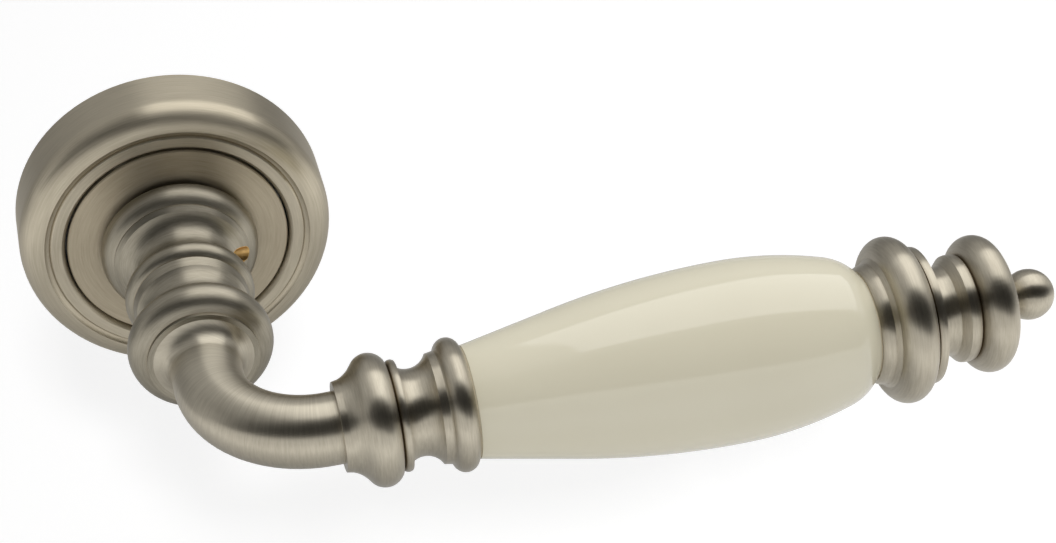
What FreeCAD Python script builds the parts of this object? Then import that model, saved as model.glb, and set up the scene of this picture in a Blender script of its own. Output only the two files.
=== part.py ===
# Door lever handle: a sprung round rose, a turned neck, a cast elbow and a lever with a porcelain grip.
# Units are millimetres. +Z is up, +X runs along the lever, and the handle stands out of the door
# towards -Y. The origin is the centre of the rose's back face, which lies on the door.

import FreeCAD, Part
import math
import os
import Sketcher

doc = FreeCAD.newDocument("door_lever_handle")
sheet = doc.addObject("Spreadsheet::Sheet", "Sizes")
nextRow = 1


class Size:
    """A number that remembers how it was worked out, so that a sketch can be bound to it."""

    def __init__(self, value, text):
        self.value = float(value)
        self.text = text

    def combine(self, other, sign, swapped=False):
        if not isinstance(other, Size):
            other = Size(other, repr(other))
        left, right = (other, self) if swapped else (self, other)
        results = {"+": lambda a, b: a + b, "-": lambda a, b: a - b,
                   "*": lambda a, b: a * b, "/": lambda a, b: a / b}
        return Size(results[sign](left.value, right.value), f"({left.text} {sign} {right.text})")

    def __add__(self, other):
        return self.combine(other, "+")

    def __radd__(self, other):
        return self.combine(other, "+", True)

    def __sub__(self, other):
        return self.combine(other, "-")

    def __rsub__(self, other):
        return self.combine(other, "-", True)

    def __mul__(self, other):
        return self.combine(other, "*")

    def __rmul__(self, other):
        return self.combine(other, "*", True)

    def __truediv__(self, other):
        return self.combine(other, "/")

    def __neg__(self):
        return 0 - self


def size(alias, value, note):
    """Writes one driving dimension into the sheet and hands it back."""
    global nextRow
    sheet.set(f"A{nextRow}", note)
    sheet.set(f"B{nextRow}", str(value))
    sheet.setAlias(f"B{nextRow}", alias)
    nextRow += 1
    return Size(value, f"Sizes.{alias}")


# ---- sketches and turned bodies ----------------------------------------------------------------

def originPlane(body, role):
    return next(f for f in body.Origin.OriginFeatures if f.Role == role)


def sketchOn(body, name, role="XY_Plane"):
    sketch = body.newObject("Sketcher::SketchObject", name)
    sketch.AttachmentSupport = [(originPlane(body, role), "")]
    sketch.MapMode = "FlatFace"
    return sketch


def asSize(value):
    return value if isinstance(value, Size) else Size(value, repr(value))


def bind(sketch, kind, *target):
    """Adds one constraint whose value is the size given last."""
    *where, value = target
    index = sketch.addConstraint(Sketcher.Constraint(kind, *where, value.value))
    sketch.setExpression(f"Constraints[{index}]", value.text)


def pinPoint(sketch, geometry, end, x, y):
    """Fixes one end of a sketch line or arc at x, y from the sketch's origin."""
    bind(sketch, "DistanceX", -1, 1, geometry, end, asSize(x))
    bind(sketch, "DistanceY", -1, 1, geometry, end, asSize(y))


def arcThrough(start, end, bulge):
    """The arc from start to end whose middle stands bulge to the left of the straight way."""
    chord = end - start
    left = FreeCAD.Vector(-chord.y, chord.x, 0).normalize()
    middle = (start + end) * 0.5 + left * bulge
    return Part.Arc(start, middle, end)


def drawOutline(sketch, points):
    """Draws a closed outline. Each point is x, y and, where an arc leads to it, that arc's bulge."""
    points = [[asSize(v) for v in point] for point in points]
    at = [FreeCAD.Vector(p[0].value, p[1].value, 0) for p in points]
    starts = []
    for i, point in enumerate(points):
        before = at[i - 1]
        if len(point) == 3:
            arc = arcThrough(before, at[i], point[2].value)
            index = sketch.addGeometry(arc, False)
            # A sketch keeps every arc counter-clockwise, so one that bulges left runs backwards.
            starts.append((index, 2, 1) if point[2].value > 0 else (index, 1, 2))
        else:
            starts.append((sketch.addGeometry(Part.LineSegment(before, at[i]), False), 1, 2))
    for i, (index, first, last) in enumerate(starts):
        following = starts[(i + 1) % len(starts)]
        sketch.addConstraint(Sketcher.Constraint("Coincident", index, last, following[0], following[1]))
        pinPoint(sketch, index, last, points[i][0], points[i][1])
        if len(points[i]) == 3:
            bulge = points[i][2]
            run = [points[i][k] - points[i - 1][k] for k in (0, 1)]
            chordSquared = run[0] * run[0] + run[1] * run[1]
            radius = chordSquared / (8 * bulge) + bulge / 2
            bind(sketch, "Radius", index, radius if bulge.value > 0 else -radius)


def turned(label, outline, axis):
    """A turned piece. Each outline point is a place along the axis, a radius and maybe a bulge.

    On the rose axis the place is the depth out of the door; on the lever axis it is the distance
    from the neck. A positive bulge is proud and a negative one hollow on an outline run outwards.
    """
    body = doc.addObject("PartDesign::Body", label)
    body.Label = label
    sketch = sketchOn(body, label + "_outline")
    if axis == "rose":
        drawOutline(sketch, [(p[1], -asSize(p[0]), *p[2:]) for p in outline])
    else:
        drawOutline(sketch, outline)
        body.setExpression("Placement.Base.y", (-leverProjection).text)
    turn = body.newObject("PartDesign::Revolution", label + "_turn")
    turn.Profile = sketch
    turn.ReferenceAxis = (sketch, ["V_Axis" if axis == "rose" else "H_Axis"])
    turn.Angle = 360
    sketch.Visibility = False
    body.Tip = turn
    return body


def tube(label, start, end, bore, outside, axis):
    return turned(label, [(start, bore), (start, outside), (end, outside), (end, bore)], axis)


def cutRound(body, name, role, along, across, radius, offset, depth, reversed_=False):
    """Pockets a round hole whose centre is along, across on a plane moved out by offset."""
    sketch = sketchOn(body, name + "_sketch", role)
    sketch.setExpression("AttachmentOffset.Base.z", asSize(offset).text)
    index = sketch.addGeometry(Part.Circle(FreeCAD.Vector(asSize(along).value, asSize(across).value, 0),
                                           FreeCAD.Vector(0, 0, 1), radius.value), False)
    bind(sketch, "Radius", index, radius)
    pinPoint(sketch, index, 3, along, across)
    return finishCut(body, name, sketch, depth, reversed_)


def finishCut(body, name, sketch, depth, reversed_):
    doc.recompute()
    before = body.Shape.Volume
    pocket = body.newObject("PartDesign::Pocket", name)
    pocket.Profile = sketch
    pocket.Type = "Length"
    pocket.Reversed = reversed_
    pocket.setExpression("Length", asSize(depth).text)
    sketch.Visibility = False
    body.Tip = pocket
    doc.recompute()
    if not body.Shape.Volume < before:
        raise RuntimeError(f"{name} removes nothing")
    return pocket


def drawRectangle(sketch, left, bottom, right, top):
    drawOutline(sketch, [(left, bottom), (right, bottom), (right, top), (left, top)])


def padUp(body, name, sketch, length, reversed_=False):
    pad = body.newObject("PartDesign::Pad", name)
    pad.Profile = sketch
    pad.Type = "Length"
    pad.Reversed = reversed_
    pad.setExpression("Length", asSize(length).text)
    sketch.Visibility = False
    body.Tip = pad
    return pad


# ---- shared sizes ------------------------------------------------------------------------------

leverProjection = size("lever_projection", 65.0, "door face to the lever's axis")
slideFit = size("slide_fit", 0.05, "radial clearance of the cover on the plate's rim")
journalFit = size("journal_fit", 0.05, "radial clearance of the neck in its bearings")
edgeBreak = size("edge_break", 0.2, "broken sharp edges")

plateFloor = size("plate_floor", 3.2, "thickness of the base plate")
hubWall = size("hub_wall", 1.9, "wall of the rear bearing hub")
hubRise = size("hub_rise", 1.6, "height of the hub above the plate's floor")
rearJournal = size("rear_journal_radius", 7.5, "neck in the base plate's hub")
frontJournal = size("front_journal_radius", 8.0, "neck in the cam and in the front bush")

springWire = size("spring_wire", 1.0, "wire of the return spring")
springRadius = size("spring_radius", 11.9, "mean radius of the return spring")
springTurns = size("spring_turns", 3, "coils of the return spring")
coilGap = size("coil_gap", 0.06, "air between two coils")
springGap = size("spring_gap", 0.2, "spring to the floor")
legGap = size("leg_gap", 0.05, "spring's legs to the post and to the dog")
postRoom = size("post_room", 0.3, "spring's coils to the post")
postHalfWidth = size("post_half_width", 1.4, "half the width of the spring post and of the cam's dog")
postThickness = size("post_thickness", 0.9, "spring post, measured outwards")

camLift = size("cam_lift", 0.15, "drive cam above the spring and its post")
camThickness = size("cam_thickness", 1.2, "drive cam plate")
camGap = size("cam_gap", 0.35, "drive cam to the cage's wall, and its dog to the post")
camRoom = size("cam_room", 0.17, "drive cam to the front bush")
dogReach = size("dog_reach", 1.1, "cam's dog, measured outwards, with its broken edge")
cageWall = size("cage_wall", 1.6, "thickness of the spring cage")
spigotRise = size("spigot_rise", 0.5, "how far the front plate enters the cage")
bushFlangeThickness = size("bush_flange_thickness", 0.5, "thickness of the front bush's flange")
frontPlateThickness = size("front_plate_thickness", 1.2, "front plate outside the cage")
frontPlateRim = size("front_plate_rim", 1.35, "front plate beyond the cage's wall")
leverSwing = size("lever_swing", 40, "travel of the lever each way, in degrees")
stopHalfAngle = size("stop_half_angle", 5, "half the width of a stop lug, in degrees")

# The spring sets the cage round it and the cam above it, and these set the front plate.
coilPitch = springWire + coilGap
springStart = plateFloor + springGap + springWire / 2
springEnd = springStart + coilPitch * springTurns
postTop = springEnd + springWire / 2
postInside = springRadius + springWire / 2 + postRoom
postOutside = postInside + postThickness
dogInside = postOutside + camGap
camRadius = dogInside + dogReach
camPlace = postTop + camLift
cageRadius = camRadius + camGap
cageOutside = cageRadius + cageWall
spigotBack = camPlace + camThickness + camRoom + bushFlangeThickness
cageDepth = spigotBack + spigotRise
frontPlateRadius = cageOutside + frontPlateRim
frontPlateFace = cageDepth + frontPlateThickness

coverRadius = size("cover_radius", 26.0, "outside of the rose")
coverSkin = size("cover_skin", 1.45, "thickness of the cover's side")
coverStand = size("cover_stand", 0.4, "crest of the cover above the front plate")
coverShoulder = size("cover_shoulder", 4.2, "rounded shoulder, measured out of the door")
rimWall = size("rim_wall", 1.3, "thickness of the plate's rim")
rimSetBack = size("rim_set_back", 0.5, "plate's rim behind the cover's shoulder")
ringWire = size("o_ring_wire", 0.9, "section of the rubber ring that grips the cover")
ringSetBack = size("o_ring_set_back", 2.4, "middle of the ring behind the rim's edge")
ringSlack = size("o_ring_slack", 0.05, "play of the ring in its groove")
coverCrest = frontPlateFace + coverStand
coverSide = coverCrest - coverShoulder
plateRadius = coverRadius - coverSkin - slideFit
rimInside = plateRadius - rimWall
rimDepth = coverSide - rimSetBack
ringPlace = rimDepth - ringSetBack

# ---- base plate ----------------------------------------------------------------------------------

clipRecessDepth = size("clip_recess_depth", 1.9, "recess in the back of the plate for the circlip")
clipRecessRadius = size("clip_recess_radius", 11.6, "radius of that recess")
screwHole = size("screw_hole_radius", 1.7, "fixing hole")
screwHead = size("screw_head_radius", 2.7, "countersink at the plate's face")
screwRoom = size("screw_room", 0.1, "countersink to the plate's rim")
countersinkDepth = size("countersink_depth", 1.2, "depth of the countersink")
screwCircle = rimInside - screwHead - screwRoom
hubBore = rearJournal + journalFit
hubRadius = hubBore + hubWall
grooveHalf = ringWire / 2 + ringSlack
grooveFloor = plateRadius - ringWire - ringSlack


def makeBasePlate():
    plate = turned("base_plate", [
        (clipRecessDepth, hubBore), (clipRecessDepth, clipRecessRadius), (0, clipRecessRadius),
        (0, plateRadius), (ringPlace - grooveHalf, plateRadius), (ringPlace - grooveHalf, grooveFloor),
        (ringPlace + grooveHalf, grooveFloor), (ringPlace + grooveHalf, plateRadius),
        (rimDepth, plateRadius), (rimDepth, rimInside), (plateFloor, rimInside),
        (plateFloor, cageOutside), (cageDepth, cageOutside), (cageDepth, cageRadius),
        (plateFloor, cageRadius), (plateFloor, hubRadius), (plateFloor + hubRise, hubRadius),
        (plateFloor + hubRise, hubBore)], "rose")

    post = sketchOn(plate, "spring_post_sketch", "XZ_Plane")
    post.setExpression("AttachmentOffset.Base.z", plateFloor.text)
    drawRectangle(post, -postHalfWidth, postInside, postHalfWidth, postOutside)
    padUp(plate, "spring_post", post, postTop - plateFloor)

    dogAngle = math.degrees(postHalfWidth.value / camRadius.value)
    wireAngle = math.degrees(springWire.value / dogInside.value)
    stopAngle = leverSwing.value + dogAngle + wireAngle + stopHalfAngle.value
    stopHalfWidth = cageRadius * math.sin(math.radians(stopHalfAngle.value))
    for name, side in (("stop_right", -1), ("stop_left", 1)):
        stop = sketchOn(plate, name + "_sketch", "XZ_Plane")
        turn = FreeCAD.Rotation(FreeCAD.Vector(0, 0, 1), side * stopAngle)
        stop.AttachmentOffset = FreeCAD.Placement(FreeCAD.Vector(0, 0, 0), turn)
        stop.setExpression("AttachmentOffset.Base.z", plateFloor.text)
        drawRectangle(stop, -stopHalfWidth, dogInside, stopHalfWidth, cageRadius + cageWall / 2)
        padUp(plate, name, stop, camPlace - camGap - plateFloor)

    hole = cutRound(plate, "fixing_hole", "XZ_Plane", screwCircle, 0, screwHole, plateFloor, plateFloor)
    sink = plate.newObject("PartDesign::SubtractiveCone", "countersink")
    sink.Placement.Rotation = FreeCAD.Rotation(FreeCAD.Vector(1, 0, 0), 90)
    sink.setExpression("Placement.Base.x", screwCircle.text)
    sink.setExpression("Placement.Base.y", (countersinkDepth - plateFloor).text)
    sink.setExpression("Radius1", screwHole.text)
    sink.setExpression("Radius2", screwHead.text)
    sink.setExpression("Height", countersinkDepth.text)
    doc.recompute()
    pattern = plate.newObject("PartDesign::PolarPattern", "fixing_holes")
    pattern.Originals = [hole, sink]
    pattern.Axis = (hole.Profile[0], ["N_Axis"])
    pattern.Angle = 360
    pattern.Occurrences = 3
    plate.Tip = pattern
    return plate


# ---- front plate, bush, rubber ring and cover ----------------------------------------------------

bushWall = size("bush_wall", 1.5, "wall of the front bush")
bushFlange = size("bush_flange", 1.2, "flange of the bush beyond its wall")
bushBore = frontJournal + journalFit
bushOutside = bushBore + bushWall

coverRound = size("cover_round", 1.2, "how proud the rounded shoulder stands of its chord")
crestShare = size("cover_crest_share", 0.47, "crest, as a share of the way from opening to side")
coveShare = size("cover_cove_share", 0.36, "bottom of the shallow cove, as such a share")
lipShare = size("cover_lip_share", 0.305, "fine lip inside the cove, as such a share")
landShare = size("cover_land_share", 0.09, "inner edge of the land, as such a share")
coveDepth = size("cover_cove_depth", 0.5, "drop from the crest to the cove")
lipRise = size("cover_lip_rise", 0.4, "lip above the bottom of the cove")
landFall = size("cover_land_fall", 0.05, "land's fall towards the opening")
softCrown = size("soft_crown", 0.1, "swell of the small softened faces")
coverGap = size("cover_gap", 0.3, "open line between the cover and the front plate")
coverDip = size("cover_dip", 0.9, "fall from the lip to the open line")
coverWall = size("cover_wall", 1.4, "thickness of the cover's front")
ringRound = size("o_ring_round", 0.98, "each side of the rubber ring, as a share of a half circle")


def makeFrontPlate():
    return turned("front_plate", [
        (spigotBack, bushOutside), (spigotBack, cageRadius), (cageDepth, cageRadius),
        (cageDepth, frontPlateRadius), (frontPlateFace - edgeBreak, frontPlateRadius),
        (frontPlateFace, frontPlateRadius - edgeBreak), (frontPlateFace, bushOutside)], "rose")


def makeBush():
    back = spigotBack - bushFlangeThickness
    return turned("bearing_bush", [
        (back, bushBore), (back, bushOutside + bushFlange), (spigotBack, bushOutside + bushFlange),
        (spigotBack, bushOutside), (frontPlateFace, bushOutside), (frontPlateFace, bushBore)], "rose")


def makeCoverRing():
    half = ringWire / 2
    middle = plateRadius - half
    return turned("cover_grip_ring", [
        (ringPlace - half, middle, half * ringRound), (ringPlace + half, middle, half * ringRound)], "rose")


def makeRoseCover():
    bore = plateRadius + slideFit
    opening = frontPlateRadius + coverGap
    face = coverRadius - opening
    crest = opening + face * crestShare
    cove = coverCrest - coveDepth
    lip = cove + lipRise
    innerFace = coverCrest - coverWall
    return turned("rose_cover", [
        (0, bore), (0, coverRadius), (coverSide, coverRadius), (coverCrest, crest, coverRound),
        (cove, opening + face * coveShare, -softCrown), (lip, opening + face * lipShare, softCrown / 2),
        (lip - landFall, opening + face * landShare), (lip - coverDip, opening, softCrown),
        (innerFace, opening), (innerFace, crest), (rimDepth + coverGap, bore, -coverGap)], "rose")


# ---- neck ----------------------------------------------------------------------------------------

neckBack = size("neck_back", 0.35, "neck's rear end off the door")
clipPlace = size("clip_place", 0.7, "groove for the circlip off the door")
clipThickness = size("clip_thickness", 0.9, "circlip")
clipSlack = size("clip_slack", 0.1, "play of the circlip in its groove")
clipGrip = size("clip_grip", 0.6, "depth of that groove")
clipWidth = size("clip_width", 3.2, "circlip, measured outwards")
socketHalf = size("socket_half", 4.05, "half the square socket for an 8 mm spindle")
socketDepth = size("socket_depth", 27, "depth of that socket")
grubPlace = size("grub_place", 18.4, "grub screw off the door")
grubRadius = size("grub_radius", 1.7, "grub screw and its tapped hole")
grubLength = size("grub_length", 3.0, "grub screw")
grubGap = size("grub_gap", 0.15, "grub screw to the face of the socket")
keyShare = size("key_share", 0.58, "grub screw's hexagon socket, as a share of the screw")
tenonRadius = size("tenon_radius", 5.0, "elbow's tenon in the neck")
tenonLength = size("tenon_length", 12.0, "depth of the tenon")
tenonGap = size("tenon_gap", 0.2, "room behind the tenon")
washerThickness = size("washer_thickness", 1.0, "nylon washer under the neck's flange")
washerGap = size("washer_gap", 0.05, "play on each face of that washer")
washerWidth = size("washer_width", 3.0, "nylon washer, measured outwards")
clipGroove = rearJournal - clipGrip

flangeBack = frontPlateFace + washerThickness + 2 * washerGap
flangeBackRadius = size("flange_back_radius", 12.3, "back edge of the neck's flange")
flangeEdge = size("flange_edge", 0.8, "rounded edge of the flange")
flangeEdgeRise = size("flange_edge_rise", 0.2, "how proud that edge stands of its chord")
flangeRadius = size("flange_radius", 13.05, "widest part of the flange")
flangeSlope = size("flange_slope", 3.0, "rounded front of the flange")
flangeSlopeRise = size("flange_slope_rise", 0.4, "how proud that front stands of its chord")
flangeLipRadius = size("flange_lip_radius", 11.2, "radius where that ends")
neckLip = size("neck_lip", 0.3, "fine lip on the flange")
neckStep = size("neck_step", 0.75, "sloping step above it")
neckStepRadius = size("neck_step_radius", 10.6, "radius at the end of that step")
lowerCove = size("lower_cove", 6.85, "length of the lower cove")
lowerCoveHollow = size("lower_cove_hollow", 1.7, "hollow of the lower cove")
coveEndRadius = size("lower_cove_end_radius", 8.4, "where the lower cove ends")
quirk = size("quirk", 0.35, "small steps beside the beads")
lowerBead = size("lower_bead", 3.9, "length of the lower bead")
lowerBeadRadius = size("lower_bead_radius", 9.2, "radius at the lower bead's ends")
lowerBeadRise = size("lower_bead_rise", 1.25, "the lower bead above its ends")
neckBand = size("neck_band", 1.75, "narrow band above the lower bead")
upperCove = size("upper_cove", 5.75, "length of the upper cove")
upperCoveHollow = size("upper_cove_hollow", 0.85, "hollow of the upper cove")
upperCoveRadius = size("upper_cove_radius", 8.6, "where the upper cove ends")
upperBead = size("upper_bead", 6.1, "length of the upper bead")
upperBeadRadius = size("upper_bead_radius", 9.2, "radius at the upper bead's ends")
upperBeadRise = size("upper_bead_rise", 2.3, "the upper bead above its ends")
endBand = size("end_band", 0.65, "narrow band at the neck's end")
endBandRadius = size("end_band_radius", 8.8, "radius of that band")

lowerBeadStart = flangeBack + flangeEdge + flangeSlope + neckLip + neckStep + lowerCove + quirk
neckBandStart = lowerBeadStart + lowerBead + quirk / 2
upperBeadStart = neckBandStart + neckBand + upperCove + quirk
neckEnd = upperBeadStart + upperBead + quirk / 2 + endBand


def makeNeck():
    slope = flangeBack + flangeEdge + flangeSlope
    coveStart = slope + neckLip + neckStep
    coveEnd = lowerBeadStart - quirk
    bandEnd = neckBandStart + neckBand
    tenonFloor = neckEnd - tenonLength
    clipEnd = clipPlace + clipThickness + clipSlack
    neck = turned("neck", [
        (neckBack, 0), (neckBack, rearJournal), (clipPlace, rearJournal), (clipPlace, clipGroove),
        (clipEnd, clipGroove), (clipEnd, rearJournal), (camPlace, rearJournal), (camPlace, frontJournal),
        (flangeBack, frontJournal), (flangeBack, flangeBackRadius),
        (flangeBack + flangeEdge, flangeRadius, flangeEdgeRise),
        (slope, flangeLipRadius, flangeSlopeRise), (slope + neckLip, flangeLipRadius),
        (coveStart, neckStepRadius), (coveEnd, coveEndRadius, -lowerCoveHollow),
        (lowerBeadStart, lowerBeadRadius),
        (lowerBeadStart + lowerBead, lowerBeadRadius, lowerBeadRise),
        (neckBandStart, lowerBeadRadius + quirk / 2), (bandEnd, lowerBeadRadius - quirk / 2),
        (bandEnd + upperCove, upperCoveRadius, -upperCoveHollow),
        (upperBeadStart, upperBeadRadius), (upperBeadStart + upperBead, upperBeadRadius, upperBeadRise),
        (neckEnd - endBand, endBandRadius), (neckEnd, endBandRadius), (neckEnd, tenonRadius),
        (tenonFloor, tenonRadius), (tenonFloor, 0)], "rose")
    socket = sketchOn(neck, "spindle_socket_sketch", "XZ_Plane")
    socket.setExpression("AttachmentOffset.Base.z", neckBack.text)
    drawRectangle(socket, -socketHalf, -socketHalf, socketHalf, socketHalf)
    finishCut(neck, "spindle_socket", socket, socketDepth, True)
    cutRound(neck, "grub_hole", "YZ_Plane", -grubPlace, 0, grubRadius, 0, flangeRadius, True)
    return neck


def makeGrubScrew():
    grub = doc.addObject("PartDesign::Body", "grub_screw")
    grub.Label = "grub_screw"
    circle = sketchOn(grub, "grub_sketch", "YZ_Plane")
    circle.setExpression("AttachmentOffset.Base.z", (socketHalf + grubGap).text)
    index = circle.addGeometry(Part.Circle(FreeCAD.Vector(-grubPlace.value, 0, 0),
                                           FreeCAD.Vector(0, 0, 1), grubRadius.value), False)
    bind(circle, "Radius", index, grubRadius)
    pinPoint(circle, index, 3, -grubPlace, 0)
    padUp(grub, "grub_pad", circle, grubLength)
    hexagon = sketchOn(grub, "key_socket_sketch", "YZ_Plane")
    hexagon.setExpression("AttachmentOffset.Base.z", (socketHalf + grubGap + grubLength).text)
    corner = grubRadius * keyShare
    angles = [math.radians(60 * i) for i in range(6)]
    drawOutline(hexagon, [(corner * math.cos(a) - grubPlace, corner * math.sin(a)) for a in angles])
    finishCut(grub, "key_socket", hexagon, grubLength / 2, False)
    return grub


def makeThrustWasher():
    back = frontPlateFace + washerGap
    bore = frontJournal + journalFit
    return tube("thrust_washer", back, back + washerThickness, bore, bore + washerWidth, "rose")


def makeCirclip():
    back = clipPlace + clipSlack / 2
    clip = tube("circlip", back, back + clipThickness, clipGroove, clipGroove + clipWidth, "rose")
    mouth = sketchOn(clip, "circlip_mouth_sketch", "XZ_Plane")
    drawRectangle(mouth, -clipGroove / 2, -clipGroove - 2 * clipWidth, clipGroove / 2, -clipGroove / 2)
    finishCut(clip, "circlip_mouth", mouth, back + 2 * clipThickness, True)
    return clip


def makeDriveCam():
    cam = tube("drive_cam", camPlace, camPlace + camThickness, frontJournal, camRadius, "rose")
    dog = sketchOn(cam, "cam_dog_sketch", "XZ_Plane")
    dog.setExpression("AttachmentOffset.Base.z", (plateFloor + springGap * 2).text)
    drawRectangle(dog, -postHalfWidth, dogInside, postHalfWidth, camRadius - edgeBreak)
    padUp(cam, "cam_dog", dog, camPlace + camThickness / 2 - plateFloor - springGap * 2)
    return cam


def makeReturnSpring():
    """Both legs stand outwards at the top, one each side of the fixed post and of the cam's dog."""
    wire = springWire.value / 2
    radius = springRadius.value
    pitch = coilPitch.value
    legSide = postHalfWidth.value + wire + legGap.value
    legAngle = math.degrees(math.asin(legSide / radius))
    turns = springTurns.value - 2 * legAngle / 360
    legRoot = radius * math.cos(math.radians(legAngle))
    legEnd = camRadius.value
    path = Part.makeHelix(pitch, pitch * turns, radius)
    section = Part.Wire(Part.makeCircle(wire, FreeCAD.Vector(radius, 0, 0), FreeCAD.Vector(0, 1, 0)))
    coil = Part.Wire(path).makePipeShell([section], True, True)
    coil.rotate(FreeCAD.Vector(0, 0, 0), FreeCAD.Vector(0, 0, 1), 90 + legAngle)
    pieces = []
    for side, rise in ((-1, 0), (1, pitch * turns)):
        corner = FreeCAD.Vector(side * legSide, legRoot, rise)
        pieces.append(Part.makeSphere(wire, corner))
        pieces.append(Part.makeCylinder(wire, legEnd - legRoot, corner, FreeCAD.Vector(0, 1, 0)))
    spring = doc.addObject("Part::Feature", "return_spring")
    spring.Label = "return_spring"
    spring.Shape = coil.multiFuse(pieces)
    outOfDoor = FreeCAD.Rotation(FreeCAD.Vector(1, 0, 0), 90)
    spring.Placement = FreeCAD.Placement(FreeCAD.Vector(0, -springStart.value, 0), outOfDoor)
    return spring


# ---- elbow ---------------------------------------------------------------------------------------

elbowRadius = size("elbow_radius", 5.55, "round section of the elbow")
elbowRise = size("elbow_rise", 2.8, "straight of the elbow before its bend")
elbowFoot = size("elbow_foot_radius", 7.9, "flared foot on the neck's end")
elbowFootLength = size("elbow_foot_length", 2.9, "length of the flare")
elbowFootHollow = size("elbow_foot_hollow", 0.6, "hollow of the flare")
elbowReach = size("elbow_reach", 1.4, "straight of the elbow after its bend")
spigotRadius = size("spigot_radius", 4.5, "elbow's spigot inside the front ferrule")
rodRadius = size("rod_radius", 2.0, "tie rod that draws the lever together")
rodFit = size("rod_fit", 0.1, "clearance of the sleeves on the tie rod")
rodGrip = size("rod_grip", 10.0, "length of the tie rod in the elbow's spigot")
rodEndGap = size("rod_end_gap", 0.5, "room beyond each end of the tie rod")

frontEdgeRadius = size("front_edge_radius", 6.9, "ferrule's edge round the elbow")
frontEdge = size("front_edge", 1.0, "width of that edge")
frontCove = size("front_cove", 2.1, "cove behind the front bead")
frontCoveRadius = size("front_cove_radius", 8.7, "where that cove ends")
frontBead = size("front_bead", 4.9, "front bead")
frontBeadRadius = size("front_bead_radius", 8.9, "radius at the front bead's ends")
frontBeadRise = size("front_bead_rise", 1.35, "the front bead above its ends")
frontGroove = size("front_groove", 0.45, "groove beside the front bead")
frontGrooveRadius = size("front_groove_radius", 8.0, "bottom of that groove")
collar = size("collar", 1.15, "thin collar beside the groove")
collarRadius = size("collar_radius", 8.4, "radius of that collar")
waist = size("waist", 4.75, "waist of the ferrule")
waistStartRadius = size("waist_start_radius", 7.3, "where the waist starts")
waistHollow = size("waist_hollow", 1.1, "hollow of the waist")
waistLip = size("waist_lip", 1.2, "lip after the waist")
waistLipRadius = size("waist_lip_radius", 8.5, "radius of that lip")
seatBead = size("seat_bead", 3.75, "bead at the porcelain")
seatBeadRadius = size("seat_bead_radius", 8.9, "radius at that bead's ends")
seatBeadRise = size("seat_bead_rise", 1.45, "that bead above its ends")

elbowBend = leverProjection - neckEnd - elbowFootLength - elbowRise
ferruleStart = elbowBend + elbowReach
beadStart = ferruleStart + frontEdge + frontCove + quirk / 2
waistStart = beadStart + frontBead + frontGroove + collar + quirk / 2
seatStart = waistStart + waist + waistLip + quirk / 2
ferruleEnd = seatStart + seatBead


def sweepElbow(body):
    """Sweeps the round section along a straight, a quarter bend and a straight."""
    start = neckEnd + elbowFootLength
    section = sketchOn(body, "elbow_section", "XZ_Plane")
    section.setExpression("AttachmentOffset.Base.z", start.text)
    circle = section.addGeometry(Part.Circle(FreeCAD.Vector(0, 0, 0), FreeCAD.Vector(0, 0, 1),
                                             elbowRadius.value), False)
    bind(section, "Radius", circle, elbowRadius)
    section.addConstraint(Sketcher.Constraint("Coincident", circle, 3, -1, 1))
    spine = sketchOn(body, "elbow_centre_line", "XY_Plane")
    bendStart = leverProjection - elbowBend
    corner = FreeCAD.Vector(elbowBend.value, -bendStart.value, 0)
    arc = Part.ArcOfCircle(Part.Circle(corner, FreeCAD.Vector(0, 0, 1), elbowBend.value),
                           math.pi, 1.5 * math.pi)
    out = spine.addGeometry(Part.LineSegment(FreeCAD.Vector(0, -start.value, 0),
                                             FreeCAD.Vector(0, -bendStart.value, 0)), False)
    bend = spine.addGeometry(arc, False)
    along = spine.addGeometry(Part.LineSegment(
        FreeCAD.Vector(elbowBend.value, -leverProjection.value, 0),
        FreeCAD.Vector(ferruleStart.value, -leverProjection.value, 0)), False)
    spine.addConstraint(Sketcher.Constraint("Coincident", out, 2, bend, 1))
    spine.addConstraint(Sketcher.Constraint("Coincident", bend, 2, along, 1))
    pinPoint(spine, out, 1, 0, -start)
    pinPoint(spine, out, 2, 0, -bendStart)
    pinPoint(spine, along, 1, elbowBend, -leverProjection)
    pinPoint(spine, along, 2, ferruleStart, -leverProjection)
    bind(spine, "Radius", bend, elbowBend)
    pipe = body.newObject("PartDesign::AdditivePipe", "elbow_sweep")
    pipe.Profile = section
    pipe.Spine = (spine, ["Edge1", "Edge2", "Edge3"])
    section.Visibility = spine.Visibility = False
    body.Tip = pipe
    return pipe


def makeElbow():
    footEnd = neckEnd + elbowFootLength
    tenonBack = neckEnd - tenonLength + tenonGap
    elbow = turned("elbow", [
        (tenonBack, 0), (tenonBack, tenonRadius), (neckEnd, tenonRadius), (neckEnd, elbowFoot),
        (footEnd, elbowRadius, -elbowFootHollow), (footEnd, 0)], "rose")
    sweepElbow(elbow)
    spigot = sketchOn(elbow, "spigot_sketch", "YZ_Plane")
    spigot.setExpression("AttachmentOffset.Base.z", ferruleStart.text)
    circle = spigot.addGeometry(Part.Circle(FreeCAD.Vector(-leverProjection.value, 0, 0),
                                            FreeCAD.Vector(0, 0, 1), spigotRadius.value), False)
    bind(spigot, "Radius", circle, spigotRadius)
    pinPoint(spigot, circle, 3, -leverProjection, 0)
    padUp(elbow, "spigot", spigot, ferruleEnd - ferruleStart)
    cutRound(elbow, "rod_hole", "YZ_Plane", -leverProjection, 0, rodRadius, ferruleEnd,
             rodGrip + rodEndGap, False)
    return elbow


# ---- lever: ferrules, porcelain and finial -------------------------------------------------------

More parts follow.
